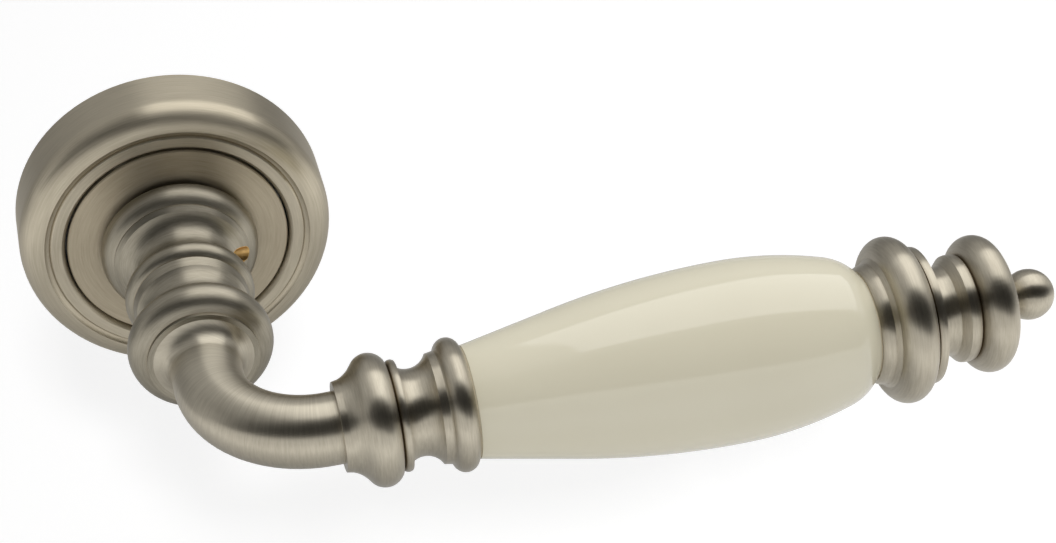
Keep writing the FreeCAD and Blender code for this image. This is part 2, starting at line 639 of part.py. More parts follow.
padThickness = size("pad_thickness", 0.3, "soft washer at each end of the porcelain")
padInset = size("pad_inset", 0.2, "edge of that washer inside the porcelain's end")
gripLength = size("grip_length", 62.9, "porcelain grip")
gripStartRadius = size("grip_start_radius", 8.75, "porcelain at the front ferrule")
gripWidest = size("grip_widest", 14.25, "porcelain at its widest")
widestShare = size("grip_widest_share", 0.66, "place of the widest, as a share of the length")
shoulderShare = size("grip_shoulder_share", 0.27, "widest to where the end turns in, as a share")
shoulderDrop = size("grip_shoulder_drop", 2.4, "fall of the porcelain from its widest to there")
longShare = size("grip_long_share", 0.87, "long curve, as a share of one that needs no taper")
gripEndRadius = size("grip_end_radius", 8.9, "porcelain at the rear ferrule")
gripBore = size("grip_bore", 4.6, "bore of the porcelain")
sleeveLength = size("sleeve_length", 8.0, "centring sleeves inside the porcelain")
sleeveInset = size("sleeve_inset", 0.3, "sleeves from the porcelain's ends")

gripStart = ferruleEnd + padThickness
gripEnd = gripStart + gripLength
rearStart = gripEnd + padThickness
padRadius = gripStartRadius - padInset
widestPlace = gripLength * widestShare
gripRise = gripWidest - gripStartRadius
longRound = longShare * (widestPlace * widestPlace + gripRise * gripRise) / (2 * gripRise)
shoulderReach = gripLength * shoulderShare
shortRound = (shoulderReach * shoulderReach + shoulderDrop * shoulderDrop) / (2 * shoulderDrop)

rearFootRadius = size("rear_foot_radius", 8.8, "rear ferrule at the porcelain")
rearFoot = size("rear_foot", 1.95, "small bead at the porcelain")
rearFootEnd = size("rear_foot_end", 9.6, "radius where that bead ends")
rearStep = size("rear_step", 0.65, "small step before the great bead")
rearBeadRadius = size("rear_bead_radius", 10.3, "radius at the great bead's ends")
rearBead = size("rear_bead", 5.75, "length of the great bead")
rearBeadRise = size("rear_bead_rise", 2.95, "the great bead above its ends")
rearQuirk = size("rear_quirk", 0.25, "small step after the great bead")
rearLip = size("rear_lip", 1.3, "thin lip after that step")
rearLipRadius = size("rear_lip_radius", 10.85, "radius of that lip")
lockBore = size("lock_bore", 5.5, "recess for the lock washer and the finial's shank")
lockDepth = size("lock_depth", 4.2, "depth of that recess")
lockThickness = size("lock_thickness", 1.0, "lock washer")
lockWidth = size("lock_width", 1.8, "lock washer, measured outwards")
shankFit = size("shank_fit", 0.1, "finial's shank in its recess")

rearBeadStart = rearStart + rearFoot + rearStep
rearEnd = rearBeadStart + rearBead + rearQuirk + rearLip

finialNeck = size("finial_neck", 3.7, "neck of the finial")
finialNeckRadius = size("finial_neck_radius", 7.25, "radius at both ends of that neck")
finialNeckHollow = size("finial_neck_hollow", 0.4, "hollow of that neck")
finialFlare = size("finial_flare", 1.2, "flare up to the small lip")
finialLipRadius = size("finial_lip_radius", 8.5, "small lip")
finialLip = size("finial_lip", 1.6, "width of that lip")
finialBead = size("finial_bead", 5.85, "finial's great bead")
finialBeadRadius = size("finial_bead_radius", 8.1, "radius where that bead starts")
finialBeadEnd = size("finial_bead_end_radius", 7.7, "radius where that bead ends")
finialBeadRise = size("finial_bead_rise", 3.08, "how proud that bead stands of its chord")
finialFace = size("finial_face_radius", 5.0, "dished face round the ball's neck")
finialFaceRise = size("finial_face_rise", 0.5, "rise of that face")
ballRadius = size("ball_radius", 4.05, "ball at the end")
ballStem = size("ball_stem", 1.95, "stem between the face and the ball")
ballStemHollow = size("ball_stem_hollow", 0.25, "hollow of that stem")
ballTurn = 45

finialBeadStart = rearEnd + finialNeck + finialFlare + finialLip + quirk
stemStart = finialBeadStart + finialBead + finialFaceRise
ballStart = stemStart + ballStem
rodEnd = rearEnd + finialNeck + finialFlare + finialLip


def makeFrontFerrule():
    coveEnd = ferruleStart + frontEdge + frontCove
    collarStart = beadStart + frontBead + frontGroove
    lipStart = waistStart + waist
    return turned("front_ferrule", [
        (ferruleStart, spigotRadius), (ferruleStart, frontEdgeRadius),
        (ferruleStart + frontEdge, frontEdgeRadius + edgeBreak), (coveEnd, frontCoveRadius, -edgeBreak),
        (beadStart, frontBeadRadius), (beadStart + frontBead, frontBeadRadius, frontBeadRise),
        (collarStart - edgeBreak, frontGrooveRadius), (collarStart, collarRadius),
        (collarStart + collar, collarRadius, edgeBreak), (waistStart, waistStartRadius),
        (lipStart, waistLipRadius, -waistHollow), (lipStart + waistLip, waistLipRadius + edgeBreak),
        (seatStart, seatBeadRadius), (ferruleEnd, seatBeadRadius, seatBeadRise),
        (ferruleEnd, spigotRadius)], "lever")


def aroundPoint(centre, radius, angle):
    return centre + FreeCAD.Vector(math.cos(angle), math.sin(angle), 0) * radius


def makePorcelainGrip():
    """A turned shell: a straight run, three tangent curves and a plain bore."""
    grip = doc.addObject("PartDesign::Body", "porcelain_grip")
    grip.Label = "porcelain_grip"
    grip.setExpression("Placement.Base.y", (-leverProjection).text)
    sketch = sketchOn(grip, "grip_outline")
    widest = gripStart + widestPlace
    longCentre = FreeCAD.Vector(widest.value, (gripWidest - longRound).value, 0)
    shortCentre = FreeCAD.Vector(widest.value, (gripWidest - shortRound).value, 0)
    front = FreeCAD.Vector(gripStart.value, gripStartRadius.value, 0)
    end = FreeCAD.Vector(gripEnd.value, gripEndRadius.value, 0)
    boreEnd = FreeCAD.Vector(gripEnd.value, gripBore.value, 0)
    boreStart = FreeCAD.Vector(gripStart.value, gripBore.value, 0)

    reach = front - longCentre
    tangentAngle = math.atan2(reach.y, reach.x) - math.acos(longRound.value / reach.Length)
    tangent = aroundPoint(longCentre, longRound.value, tangentAngle)
    shoulderAngle = math.acos(shoulderReach.value / shortRound.value)
    shoulder = aroundPoint(shortCentre, shortRound.value, shoulderAngle)
    inward = (shortCentre - shoulder).normalize()
    chord = end - shoulder
    turnRadius = chord.dot(chord) / (2 * chord.dot(inward))
    turnCentre = shoulder + inward * turnRadius
    endAngle = math.atan2(end.y - turnCentre.y, end.x - turnCentre.x)

    def addArc(centre, radius, fromAngle, toAngle):
        circle = Part.Circle(centre, FreeCAD.Vector(0, 0, 1), radius)
        return sketch.addGeometry(Part.ArcOfCircle(circle, fromAngle, toAngle), False)

    def addLine(fromPoint, toPoint):
        return sketch.addGeometry(Part.LineSegment(fromPoint, toPoint), False)

    taper = addLine(front, tangent)
    longArc = addArc(longCentre, longRound.value, math.pi / 2, tangentAngle)
    shortArc = addArc(shortCentre, shortRound.value, shoulderAngle, math.pi / 2)
    turnArc = addArc(turnCentre, turnRadius, endAngle, shoulderAngle)
    rearFace = addLine(end, boreEnd)
    bore = addLine(boreEnd, boreStart)
    frontFace = addLine(boreStart, front)
    for kind, first, firstEnd, second, secondEnd in (
            ("Tangent", taper, 2, longArc, 2), ("Tangent", longArc, 1, shortArc, 2),
            ("Tangent", shortArc, 1, turnArc, 2), ("Coincident", turnArc, 1, rearFace, 1),
            ("Coincident", rearFace, 2, bore, 1), ("Coincident", bore, 2, frontFace, 1),
            ("Coincident", frontFace, 2, taper, 1)):
        sketch.addConstraint(Sketcher.Constraint(kind, first, firstEnd, second, secondEnd))
    pinPoint(sketch, taper, 1, gripStart, gripStartRadius)
    pinPoint(sketch, longArc, 1, widest, gripWidest)
    bind(sketch, "DistanceX", -1, 1, longArc, 3, widest)
    bind(sketch, "Radius", longArc, longRound)
    bind(sketch, "Radius", shortArc, shortRound)
    bind(sketch, "DistanceX", -1, 1, shortArc, 1, widest + shoulderReach)
    pinPoint(sketch, rearFace, 1, gripEnd, gripEndRadius)
    pinPoint(sketch, bore, 1, gripEnd, gripBore)
    pinPoint(sketch, frontFace, 1, gripStart, gripBore)
    turn = grip.newObject("PartDesign::Revolution", "grip_turn")
    turn.Profile = sketch
    turn.ReferenceAxis = (sketch, ["H_Axis"])
    turn.Angle = 360
    sketch.Visibility = False
    grip.Tip = turn
    return grip


def makeRearFerrule():
    beadEnd = rearBeadStart + rearBead
    lipStart = rearEnd - rearLip
    recess = rearEnd - lockDepth
    return turned("rear_ferrule", [
        (rearStart, rodRadius + rodFit), (rearStart, rearFootRadius),
        (rearStart + rearFoot, rearFootEnd, edgeBreak), (rearBeadStart, rearBeadRadius),
        (beadEnd, rearBeadRadius, rearBeadRise), (lipStart, rearLipRadius),
        (rearEnd, rearLipRadius, edgeBreak / 2), (rearEnd, lockBore), (recess, lockBore),
        (recess, rodRadius + rodFit)], "lever")


def makeLockWasher():
    place = rearEnd - lockDepth
    bore = rodRadius + rodFit
    washer = tube("lock_washer", place, place + lockThickness, bore, bore + lockWidth, "lever")
    split = sketchOn(washer, "lock_split_sketch", "XY_Plane")
    drawRectangle(split, place - lockThickness, rodRadius / 2,
                  place + 2 * lockThickness, bore + 2 * lockWidth)
    cut = washer.newObject("PartDesign::Pocket", "lock_split")
    cut.Profile = split
    cut.Type = "Length"
    cut.Midplane = True
    cut.setExpression("Length", (lockThickness / 2).text)
    split.Visibility = False
    washer.Tip = cut
    return washer


def makeFinial():
    shankStart = rearEnd - lockDepth + lockThickness
    shankRadius = lockBore - shankFit
    neckTop = rearEnd + finialNeck
    lipStart = neckTop + finialFlare
    beadEnd = finialBeadStart + finialBead
    turn = math.radians(ballTurn)
    ballNeck = ballRadius * math.sin(turn)
    ballCentre = ballStart + ballRadius * math.cos(turn)
    ballProud = ballRadius * (1 - math.cos((math.pi - turn) / 2))
    return turned("finial", [
        (shankStart, rodRadius), (shankStart, shankRadius), (rearEnd, shankRadius),
        (rearEnd, finialNeckRadius), (neckTop, finialNeckRadius, -finialNeckHollow),
        (lipStart, finialLipRadius), (lipStart + finialLip, finialLipRadius, edgeBreak / 2),
        (finialBeadStart, finialBeadRadius), (beadEnd, finialBeadEnd, finialBeadRise),
        (stemStart, finialFace), (stemStart, ballNeck + edgeBreak),
        (ballStart, ballNeck, -ballStemHollow), (ballCentre + ballRadius, 0, ballProud),
        (rodEnd, 0), (rodEnd, rodRadius)], "lever")


def makeLeverFillings():
    """Rod, soft washers and centring sleeves: all plain turned pieces on the lever's axis."""
    rodBore = rodRadius + rodFit
    rod = tube("tie_rod", ferruleEnd - rodGrip, rodEnd - rodEndGap, 0, rodRadius, "lever")
    frontPad = tube("front_washer", ferruleEnd, gripStart, gripBore, padRadius, "lever")
    rearPad = tube("rear_washer", gripEnd, rearStart, gripBore, padRadius, "lever")
    frontSleeveStart = gripStart + sleeveInset
    rearSleeveEnd = gripEnd - sleeveInset
    frontSleeve = tube("front_sleeve", frontSleeveStart, frontSleeveStart + sleeveLength,
                       rodBore, gripBore, "lever")
    rearSleeve = tube("rear_sleeve", rearSleeveEnd - sleeveLength, rearSleeveEnd,
                      rodBore, gripBore, "lever")
    return [rod, frontPad, rearPad, frontSleeve, rearSleeve]


# ---- build, check and write ----------------------------------------------------------------------

pieces = [makeBasePlate(), makeFrontPlate(), makeBush(), makeCoverRing(), makeRoseCover(), makeNeck(),
          makeGrubScrew(), makeThrustWasher(), makeCirclip(), makeDriveCam(), makeReturnSpring(),
          makeElbow(), makeFrontFerrule(), makePorcelainGrip(), makeRearFerrule(), makeLockWasher(),
          makeFinial(), *makeLeverFillings()]

doc.recompute()
for thing in doc.Objects:
    if {"Invalid", "Error"} & set(thing.State):
        raise RuntimeError(f"{thing.Label} did not build: {thing.State}")
for piece in pieces:
    if piece.Shape.isNull() or not piece.Shape.isValid():
        raise RuntimeError(f"{piece.Label} has no valid shape")

os.makedirs("parts", exist_ok=True)
for piece in pieces:
    piece.Shape.exportStep(f"parts/{piece.Label}.step")
    box = piece.Shape.BoundBox
    print(f"{piece.Label}: {len(piece.Shape.Solids)} solid, {piece.Shape.Volume:.1f} mm3,"
          f" x {box.XMin:.1f} to {box.XMax:.1f}, y {box.YMin:.1f} to {box.YMax:.1f}")
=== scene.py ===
# Door lever handle: satin nickel fittings round a glazed porcelain grip, on a pale studio floor.
import math

import bpy
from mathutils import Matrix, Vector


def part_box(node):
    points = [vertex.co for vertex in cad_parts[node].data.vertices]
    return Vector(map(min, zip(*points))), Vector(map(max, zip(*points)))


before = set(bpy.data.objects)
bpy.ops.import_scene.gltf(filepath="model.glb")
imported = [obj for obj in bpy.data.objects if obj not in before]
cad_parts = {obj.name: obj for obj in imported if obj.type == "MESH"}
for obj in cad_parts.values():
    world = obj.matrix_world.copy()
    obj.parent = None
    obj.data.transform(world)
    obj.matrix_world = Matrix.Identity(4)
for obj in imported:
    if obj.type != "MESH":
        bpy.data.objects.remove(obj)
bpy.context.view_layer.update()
bpy.ops.object.select_all(action="DESELECT")
millimetre = 0.001
print("frame loaded:", len(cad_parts), "pieces")

gripLow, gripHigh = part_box("porcelain_grip")
leverDepth = 0.5 * (gripLow[1] + gripHigh[1])  # y of the lever's axis, which lies at height 0


def linear(code):
    # an sRGB colour such as "#e7e0c8" as the linear values that a shader takes
    values = [int(code[i:i + 2], 16) / 255 for i in (1, 3, 5)]
    return [v / 12.92 if v <= 0.04045 else ((v + 0.055) / 1.055) ** 2.4 for v in values] + [1]


def newMaterial(name):
    material = bpy.data.materials.new(name)
    material.use_nodes = True
    tree = material.node_tree
    shader = tree.nodes["Principled BSDF"]
    return material, tree, shader


def addNode(tree, kind, settings=(), links=()):
    # settings: (name or input number, value); links: (input, node or (node, output)).
    # A Mix node's numbers are inputs 2 and 3. Its colours are inputs 6 and 7, and output 2.
    node = tree.nodes.new(kind)
    for name, value in settings:
        if isinstance(name, int) or name in node.inputs:
            node.inputs[name].default_value = value
        else:
            setattr(node, name, value)
    for socket, source in links:
        plug(tree, source, node, socket)
    return node


def plug(tree, source, target, socket):
    node, output = source if isinstance(source, tuple) else (source, 0)
    tree.links.new(node.outputs[output], target.inputs[socket])


# Lengths are in mm. The hairlines are drawn wider than real ones of 0.1 mm, so that they still show.
nickel = {
    "tones": {
        "lever": ("#a9a191", "#c2bbaa"),
        "elbow": ("#a9a191", "#c2bbaa"),
        "cover": ("#aaa18e", "#c4bba7"),
        # The neck's tones are painted shade: the same nickel plate as the lever, made darker so the neck
        # looks darker.
        "neck": ("#8b8576", "#a69f90"),
        "plate": ("#a39883", "#b9ae98"),
    },
    "stretch": {"lever": 0.88, "elbow": 0.65, "cover": 0.75, "neck": 0.45, "plate": 0.88},
    "quarterTurn": 0.25,  # lays the stretch across hairs that run round
    "turnRadius": 10.0,  # where the hairs have their right length
    "roughness": (0.32, 0.40),
    "grainWidth": 0.26,
    "grainLength": 3.0,
    "grainDetail": 3.0,
    "grainRoughness": 0.65,
    "grainDepth": 0.002,
    "grainStrength": 0.25,
    "cloudSize": 14.0,
    "cloudDetail": 2.0,
    "cloudShare": 0.35,
    "toneEnds": (0.40, 0.95),
    # a dark brown for the hollows: partly tarnish, partly painted shade
    "tarnishAndShade": "#85775f",
    "recess": 1.6,
    "recessEnds": (0.35, 0.85),
    "recessSamples": 8,
}
turned = {
    "lever": {"along": "X", "across": ("Y", "Z"), "axis": (1, 0, 0), "middle": (0, leverDepth, 0)},
    "rose": {"along": "Y", "across": ("X", "Z"), "axis": (0, 1, 0), "middle": (0, 0, 0)},
}


def turnedGrain(tree, place, line):
    # The grain of a turned piece runs round it, so it changes along the axis and outwards.
    turning = turned[line]
    acrossA, acrossB = turning["across"]
    outwards = addNode(tree, "ShaderNodeVectorMath",
                       [("operation", "SUBTRACT"), (1, turning["middle"])], [(0, (place, "Object"))])
    parts = addNode(tree, "ShaderNodeSeparateXYZ", links=[(0, outwards)])
    flat = addNode(tree, "ShaderNodeCombineXYZ", links=[(0, (parts, acrossA)), (1, (parts, acrossB))])
    radius = addNode(tree, "ShaderNodeVectorMath", [("operation", "LENGTH")], [(0, flat)])
    angle = addNode(tree, "ShaderNodeMath", [("operation", "ARCTAN2")],
                    [(0, (parts, acrossA)), (1, (parts, acrossB))])
    around = addNode(tree, "ShaderNodeMath",
                     [("operation", "MULTIPLY"), (1, nickel["turnRadius"] * millimetre)], [(0, angle)])
    grain = addNode(tree, "ShaderNodeCombineXYZ",
                    links=[(0, (parts, turning["along"])), (1, (radius, "Value")), (2, around)])
    hairWay = addNode(tree, "ShaderNodeVectorMath",
                      [("operation", "CROSS_PRODUCT"), (0, turning["axis"])], [(1, outwards)])
    return grain, hairWay


elbow = {"bendRadius": 16.0}


def elbowGrain(tree, place):
    # Along the straight arm the grain changes with x, and round the bend with the bend's own angle.
    radius = elbow["bendRadius"] * millimetre
    fromBend = addNode(tree, "ShaderNodeVectorMath",
                       [("operation", "SUBTRACT"), (1, (radius, leverDepth + radius, 0))],
                       [(0, (place, "Object"))])
    parts = addNode(tree, "ShaderNodeSeparateXYZ", links=[(0, fromBend)])
    back = addNode(tree, "ShaderNodeMath", [("operation", "MINIMUM"), (1, 0.0)], [(0, (parts, "X"))])
    down = addNode(tree, "ShaderNodeMath", [("operation", "MULTIPLY"), (1, -1.0)], [(0, (parts, "Y"))])
    angle = addNode(tree, "ShaderNodeMath", [("operation", "ARCTAN2")], [(0, back), (1, down)])
    ahead = addNode(tree, "ShaderNodeMath", [("operation", "MAXIMUM"), (1, 0.0)], [(0, (parts, "X"))])
    along = addNode(tree, "ShaderNodeMath", [("operation", "MULTIPLY_ADD"), (1, radius)],
                    [(0, angle), (2, ahead)])
    grain = addNode(tree, "ShaderNodeCombineXYZ", links=[(0, along), (2, (parts, "Z"))])
    armWay = addNode(tree, "ShaderNodeCombineXYZ", links=[(0, down), (1, back)])
    return grain, armWay


brass = {"tones": ("#a87c3c", "#f2cd8c"), "mottle": 1.1, "margin": 0.08}


def brassHole(tree, place, plating):
    # Inside the drilled side hole there is no plating: raw brass, browner in patches.
    low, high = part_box("grub_screw")
    middle = [0.5 * (a + b) for a, b in zip(low, high)]
    reach = 0.5 * (high[2] - low[2]) + brass["margin"] * millimetre
    fromHole = addNode(tree, "ShaderNodeVectorMath",
                       [("operation", "SUBTRACT"), (1, (0.0, middle[1], middle[2]))],
                       [(0, (place, "Object"))])
    parts = addNode(tree, "ShaderNodeSeparateXYZ", links=[(0, fromHole)])
    across = addNode(tree, "ShaderNodeCombineXYZ", links=[(1, (parts, "Y")), (2, (parts, "Z"))])
    distance = addNode(tree, "ShaderNodeVectorMath", [("operation", "LENGTH")], [(0, across)])
    close = addNode(tree, "ShaderNodeMath", [("operation", "LESS_THAN"), (1, reach)],
                    [(0, (distance, "Value"))])
    drilledSide = addNode(tree, "ShaderNodeMath", [("operation", "GREATER_THAN"), (1, 0.0)],
                          [(0, (parts, "X"))])
    inside = addNode(tree, "ShaderNodeMath", [("operation", "MULTIPLY")], [(0, close), (1, drilledSide)])
    mottle = addNode(tree, "ShaderNodeTexNoise", [("Scale", 1 / (brass["mottle"] * millimetre))],
                     [(0, (place, "Object"))])
    dark, light = brass["tones"]
    metal = addNode(tree, "ShaderNodeMix",
                    [("data_type", "RGBA"), (6, linear(dark)), (7, linear(light))], [(0, mottle)])
    return addNode(tree, "ShaderNodeMix", [("data_type", "RGBA")],
                   [(0, inside), (6, plating), (7, (metal, 2))])


def satinNickel(name, piece, line, drilled=False):
    # Nickel plate over brass, brushed with fine grit: a soft sheen that is drawn out across the
    # grain, warm grey, with darker and lighter hairlines, and in the grooves brown tarnish with painted
    # shade.
    material, tree, shader = newMaterial(name)
    place = addNode(tree, "ShaderNodeTexCoord")
    onArm = line == "arm"
    grain, way = elbowGrain(tree, place) if onArm else turnedGrain(tree, place, line)
    fine = 1 / (nickel["grainWidth"] * millimetre)
    long = 1 / (nickel["grainLength"] * millimetre)
    scale = addNode(tree, "ShaderNodeMapping", [("Scale", (fine, fine, long))], [(0, grain)])
    hairs = addNode(tree, "ShaderNodeTexNoise",
                    [("Scale", 1.0), ("Detail", nickel["grainDetail"]),
                     ("Roughness", nickel["grainRoughness"])], [(0, scale)])
    cloud = addNode(tree, "ShaderNodeTexNoise",
                    [("Scale", 1 / (nickel["cloudSize"] * millimetre)),
                     ("Detail", nickel["cloudDetail"])], [(0, (place, "Object"))])
    blend = addNode(tree, "ShaderNodeMath", [("operation", "MULTIPLY_ADD"), (1, nickel["cloudShare"])],
                    [(0, cloud), (2, hairs)])
    low, high = nickel["toneEnds"]
    tone = addNode(tree, "ShaderNodeMapRange", [("From Min", low), ("From Max", high)], [(0, blend)])
    dark, light = nickel["tones"][piece]
    plating = addNode(tree, "ShaderNodeMix",
                      [("data_type", "RGBA"), (6, linear(dark)), (7, linear(light))], [(0, tone)])
    # Painted shade with tarnish: where a point lies hidden by its own piece, as in grooves, its colour
    # turns to a dark brown.
    hidden = addNode(tree, "ShaderNodeAmbientOcclusion",
                     [("only_local", True), ("samples", nickel["recessSamples"]),
                      ("Distance", nickel["recess"] * millimetre)])
    low, high = nickel["recessEnds"]
    unhiddenShare = addNode(tree, "ShaderNodeMapRange", [("From Min", low), ("From Max", high)],
                   [(0, (hidden, "AO"))])
    tarnishedAndShaded = addNode(tree, "ShaderNodeMix",
                        [("data_type", "RGBA"), (6, linear(nickel["tarnishAndShade"]))],
                        [(0, unhiddenShare), (7, (plating, 2))])
    colour = brassHole(tree, place, (tarnishedAndShaded, 2)) if drilled else tarnishedAndShaded
    least, most = nickel["roughness"]
    gloss = addNode(tree, "ShaderNodeMapRange", [("To Min", least), ("To Max", most)], [(0, hairs)])
    bump = addNode(tree, "ShaderNodeBump",
                   [("Strength", nickel["grainStrength"]),
                    ("Distance", nickel["grainDepth"] * millimetre)], [("Height", hairs)])
    tangent = addNode(tree, "ShaderNodeVectorTransform",
                      [("vector_type", "VECTOR"), ("convert_from", "OBJECT"), ("convert_to", "WORLD")],
                      [(0, way)])
    plug(tree, (colour, 2), shader, "Base Color")
    plug(tree, gloss, shader, "Roughness")
    plug(tree, bump, shader, "Normal")
    plug(tree, tangent, shader, "Tangent")
    shader.inputs["Anisotropic"].default_value = nickel["stretch"][piece]
    shader.inputs["Anisotropic Rotation"].default_value = 0.0 if onArm else nickel["quarterTurn"]
    shader.inputs["Metallic"].default_value = 1.0
    return material


porcelain = {
    "tones": ("#efe9d1", "#e8e1c8"),
    "cloudSize": 25.0,
    "cloudDetail": 2.0,
    "waveSize": 16.0,
    "waveDepth": 0.05,
    "waveStrength": 0.3,
    "roughness": 0.05,
    "index": 1.52,
    "coat": 0.2,
    "coatRoughness": 0.03,
}


def glazedPorcelain():
    # Cream earthenware under a thick clear glaze: mirror-like highlights with softly waving edges.
    material, tree, shader = newMaterial("glazedPorcelain")
    place = addNode(tree, "ShaderNodeTexCoord")
    cloud = addNode(tree, "ShaderNodeTexNoise",
                    [("Scale", 1 / (porcelain["cloudSize"] * millimetre)),
                     ("Detail", porcelain["cloudDetail"])], [(0, (place, "Object"))])
    body, warm = porcelain["tones"]
    colour = addNode(tree, "ShaderNodeMix",
                     [("data_type", "RGBA"), (6, linear(body)), (7, linear(warm))], [(0, cloud)])
    wave = addNode(tree, "ShaderNodeTexNoise",
                   [("Scale", 1 / (porcelain["waveSize"] * millimetre)), ("Detail", 0.0)],
                   [(0, (place, "Object"))])
    bump = addNode(tree, "ShaderNodeBump",
                   [("Strength", porcelain["waveStrength"]),
                    ("Distance", porcelain["waveDepth"] * millimetre)], [("Height", wave)])
    plug(tree, (colour, 2), shader, "Base Color")
    plug(tree, bump, shader, "Normal")
    shader.inputs["Roughness"].default_value = porcelain["roughness"]
    shader.inputs["IOR"].default_value = porcelain["index"]
    shader.inputs["Coat Weight"].default_value = porcelain["coat"]
    shader.inputs["Coat Roughness"].default_value = porcelain["coatRoughness"]
    return material


plainFinishes = {
    "dieCastZinc": {"tones": ("#8f9193", "#b9babb"), "mottle": 1.2, "depth": 0.03, "roughness": 0.45,
                    "metallic": 1.0},
    "zincPlatedSteel": {"tones": ("#9c9e9f", "#c3c4c2"), "mottle": 3.0, "depth": 0.01,
                        "roughness": 0.3, "metallic": 1.0},
    "oiledSpringSteel": {"tones": ("#4a4949", "#6d6b69"), "mottle": 2.0, "depth": 0.01,
                         "roughness": 0.3, "metallic": 1.0},
    "blackNylon": {"tones": ("#1a1a1a", "#262626"), "mottle": 1.0, "depth": 0.02, "roughness": 0.5,
                   "metallic": 0.0},
    "naturalNylon": {"tones": ("#dad5c5", "#e6e2d4"), "mottle": 2.0, "depth": 0.02,
                     "roughness": 0.45, "metallic": 0.0},
    "vulcanisedFibre": {"tones": ("#c9bda2", "#d8cdb4"), "mottle": 0.8, "depth": 0.02,
                        "roughness": 0.7, "metallic": 0.0},
    "nitrileRubber": {"tones": ("#111111", "#1c1c1c"), "mottle": 0.8, "depth": 0.03,
                      "roughness": 0.7, "metallic": 0.0},
}
texture = {"detail": 4.0, "strength": 0.4}


def plainFinish(name, tones, mottle, depth, roughness, metallic):
    # A cast, moulded or drawn surface that hides inside: its own mottle and a shallow texture.
    material, tree, shader = newMaterial(name)
    place = addNode(tree, "ShaderNodeTexCoord")
    patches = addNode(tree, "ShaderNodeTexNoise",
                      [("Scale", 1 / (mottle * millimetre)), ("Detail", texture["detail"])],
                      [(0, (place, "Object"))])
    dark, light = tones
    colour = addNode(tree, "ShaderNodeMix",
                     [("data_type", "RGBA"), (6, linear(dark)), (7, linear(light))], [(0, patches)])
    bump = addNode(tree, "ShaderNodeBump",
                   [("Strength", texture["strength"]), ("Distance", depth * millimetre)],
                   [("Height", patches)])
    plug(tree, (colour, 2), shader, "Base Color")
    plug(tree, bump, shader, "Normal")
    shader.inputs["Roughness"].default_value = roughness
    shader.inputs["Metallic"].default_value = metallic
    return material


finishes = {
    "turnedNickelLever": satinNickel("turnedNickelLever", "lever", "lever"),
    "turnedNickelCover": satinNickel("turnedNickelCover", "cover", "rose"),
    "turnedNickelNeck": satinNickel("turnedNickelNeck", "neck", "rose", drilled=True),
    "spunNickelPlate": satinNickel("spunNickelPlate", "plate", "rose"),
    "brushedNickelElbow": satinNickel("brushedNickelElbow", "elbow", "arm"),
    "glazedPorcelain": glazedPorcelain(),
}
for name, settings in plainFinishes.items():
    finishes[name] = plainFinish(name, **settings)
dressing = {
    "turnedNickelLever": ["front_ferrule", "rear_ferrule", "finial"],
    "turnedNickelCover": ["rose_cover"],
    "turnedNickelNeck": ["neck"],
    "spunNickelPlate": ["front_plate"],
    "brushedNickelElbow": ["elbow"],
    "glazedPorcelain": ["porcelain_grip"],
    "dieCastZinc": ["base_plate"],
    "zincPlatedSteel": ["drive_cam", "tie_rod", "grub_screw"],
    "oiledSpringSteel": ["return_spring", "circlip", "lock_washer"],
    "blackNylon": ["bearing_bush", "thrust_washer"],
    "naturalNylon": ["front_sleeve", "rear_sleeve"],
    "vulcanisedFibre": ["front_washer", "rear_washer"],
    "nitrileRubber": ["cover_grip_ring"],
}
for finish, nodeNames in dressing.items():
    for nodeName in nodeNames:
        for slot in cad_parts[nodeName].material_slots:
            slot.material = finishes[finish]
print("materials: done")

# Lengths are in mm. The sheen is a painted glow: how much brighter metal mirrors the paper. It grows
# outwards between the two sheenEnds, and from behind to the front between the two sheenSides. The shade
# is the painted shade close by.
paper = {
    "drop": 105,
    "half": 3000,
    "colour": "#f2f2f2",
    "roughness": 0.8,
    "glow": (0.285, 0.90),
    "glowEnds": (400, 1600),
    "sheen": 0.50,
    "sheenEnds": (30, 300),
    "sheenSides": (180, -20),
    "shade": 0.56,
}


